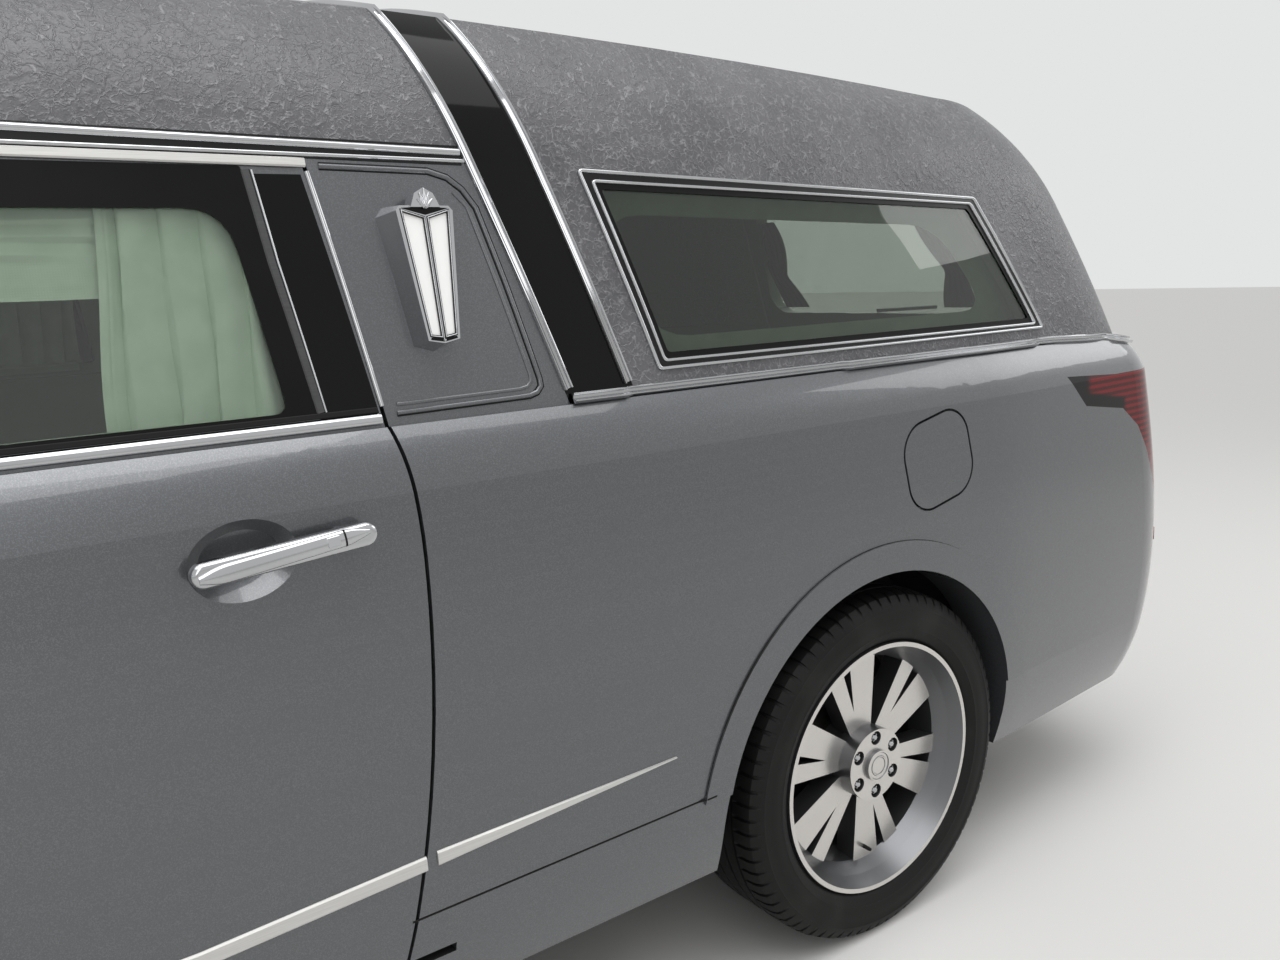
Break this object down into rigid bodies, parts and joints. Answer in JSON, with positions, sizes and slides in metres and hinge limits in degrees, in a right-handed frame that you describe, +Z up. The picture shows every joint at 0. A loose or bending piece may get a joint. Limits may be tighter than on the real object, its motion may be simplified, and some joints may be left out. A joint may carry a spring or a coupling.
{
  "type": "hearse",
  "caption": "Funeral coach on a stretched sport-utility body, with a vinyl landau roof, slanted roof band, long side windows, opening doors and turning wheels.",
  "frame": {"origin": "on the ground under the middle of the overall length and width", "axes": "+X to the vehicle's left, +Y to its rear, +Z up"},
  "size_m": [2.312, 6.0516, 1.9362],
  "materials": {
    "paint": "metallic gloss enamel",
    "vinyl": "crinkle-grain padded vinyl",
    "gloss_black": "gloss black",
    "chrome": "bright plated",
    "glass": "tinted",
    "lamp_red": "moulded lens",
    "lamp_clear": "moulded lens",
    "trim_black": "moulded",
    "trim_dark": "grained",
    "leather": "stitched",
    "curtain": "pleated cloth",
    "laminate": "satin laminate",
    "rubber": "matt",
    "tyre": "moulded",
    "alloy": "machined face, grey pockets",
    "cast": "black painted",
    "steel": "dull",
    "underbody": "black coat"
  },
  "bodies": {
    "body": {"cab_frame": "paint", "casket_deck": "laminate", "coach_lamp_lenses": "lamp_clear", "coach_lamps": "chrome", "cowl": "trim_black", "curtains": "curtain", "dashboard": "trim_dark", "deck_rollers": "rubber", "engine": "cast", "exhaust": "steel", "floor_pan": "underbody", "front_bumper": "paint", "front_fenders": "paint", "front_roof": "vinyl", "front_seats": "leather", "front_subframe": "underbody", "fuel_tank": "trim_dark", "grille": "trim_black", "headlamps": "lamp_clear", "landau_roof": "vinyl", "quarter_glass": "glass", "quarter_panels": "paint", "rear_axle": "cast", "rear_bumper": "paint", "roof_band": "gloss_black", "tail_lamps": "lamp_red", "windscreen": "glass"},
    "hood": {"hood": "paint"},
    "loading_door": {"loading_door": "paint", "loading_door_glass": "glass"},
    "fuel_door": {"fuel_door": "paint"},
    "front_door_left": {"front_door_glass_left": "glass", "front_door_handle_left": "chrome", "front_door_left": "paint"},
    "rear_door_left": {"pillar_applique_left": "gloss_black", "rear_door_glass_left": "glass", "rear_door_handle_left": "chrome", "rear_door_left": "paint"},
    "knuckle_left": {"knuckle_left": "cast"},
    "front_wheel_left": {"front_tyre_left": "tyre", "front_wheel_left": "alloy"},
    "rear_wheel_left": {"rear_tyre_left": "tyre", "rear_wheel_left": "alloy"},
    "front_door_right": {"front_door_glass_right": "glass", "front_door_handle_right": "chrome", "front_door_right": "paint"},
    "rear_door_right": {"pillar_applique_right": "gloss_black", "rear_door_glass_right": "glass", "rear_door_handle_right": "chrome", "rear_door_right": "paint"},
    "knuckle_right": {"knuckle_right": "cast"},
    "front_wheel_right": {"front_tyre_right": "tyre", "front_wheel_right": "alloy"},
    "rear_wheel_right": {"rear_tyre_right": "tyre", "rear_wheel_right": "alloy"}
  },
  "joints": [
    {"name": "front_door_left_hinge", "type": "hinge", "parent": "body", "child": "front_door_left", "pos_m": [0.947, -1.463, 0.8], "axis": [0.0523, 0, -0.9986], "range_deg": [0, 70]},
    {"name": "rear_door_left_hinge", "type": "hinge", "parent": "body", "child": "rear_door_left", "pos_m": [0.947, -0.363, 0.8], "axis": [0.0523, 0, -0.9986], "range_deg": [0, 70]},
    {"name": "steer_left", "type": "hinge", "parent": "body", "child": "knuckle_left", "pos_m": [0.78, -2.075, 0.378], "axis": [0, 0, 1], "range_deg": [-33, 33]},
    {"name": "front_wheel_left_spin", "type": "hinge", "parent": "knuckle_left", "child": "front_wheel_left", "pos_m": [0.819, -2.075, 0.378], "axis": [1, 0, 0], "continuous": true},
    {"name": "rear_wheel_left_spin", "type": "hinge", "parent": "body", "child": "rear_wheel_left", "pos_m": [0.819, 1.725, 0.378], "axis": [1, 0, 0], "continuous": true},
    {"name": "front_door_right_hinge", "type": "hinge", "parent": "body", "child": "front_door_right", "pos_m": [-0.947, -1.463, 0.8], "axis": [0.0523, 0, 0.9986], "range_deg": [0, 70]},
    {"name": "rear_door_right_hinge", "type": "hinge", "parent": "body", "child": "rear_door_right", "pos_m": [-0.947, -0.363, 0.8], "axis": [0.0523, 0, 0.9986], "range_deg": [0, 70]},
    {"name": "steer_right", "type": "hinge", "parent": "body", "child": "knuckle_right", "pos_m": [-0.78, -2.075, 0.378], "axis": [0, 0, 1], "range_deg": [-33, 33]},
    {"name": "front_wheel_right_spin", "type": "hinge", "parent": "knuckle_right", "child": "front_wheel_right", "pos_m": [-0.819, -2.075, 0.378], "axis": [1, 0, 0], "continuous": true},
    {"name": "rear_wheel_right_spin", "type": "hinge", "parent": "body", "child": "rear_wheel_right", "pos_m": [-0.819, 1.725, 0.378], "axis": [1, 0, 0], "continuous": true},
    {"name": "loading_door_hinge", "type": "hinge", "parent": "body", "child": "loading_door", "pos_m": [0.64, 2.985, 1.2], "axis": [0, 0, -1], "range_deg": [0, 95]},
    {"name": "hood_hinge", "type": "hinge", "parent": "body", "child": "hood", "pos_m": [0, -1.561, 1.283], "axis": [-1, 0, 0], "range_deg": [0, 60]},
    {"name": "fuel_door_hinge", "type": "hinge", "parent": "body", "child": "fuel_door", "pos_m": [0.95, 1.771, 1.021], "axis": [0, 0, -1], "range_deg": [0, 100]}
  ],
  "couplings": [
    {"joint": "steer_right", "follows": "steer_left", "ratio": 1}
  ]
}
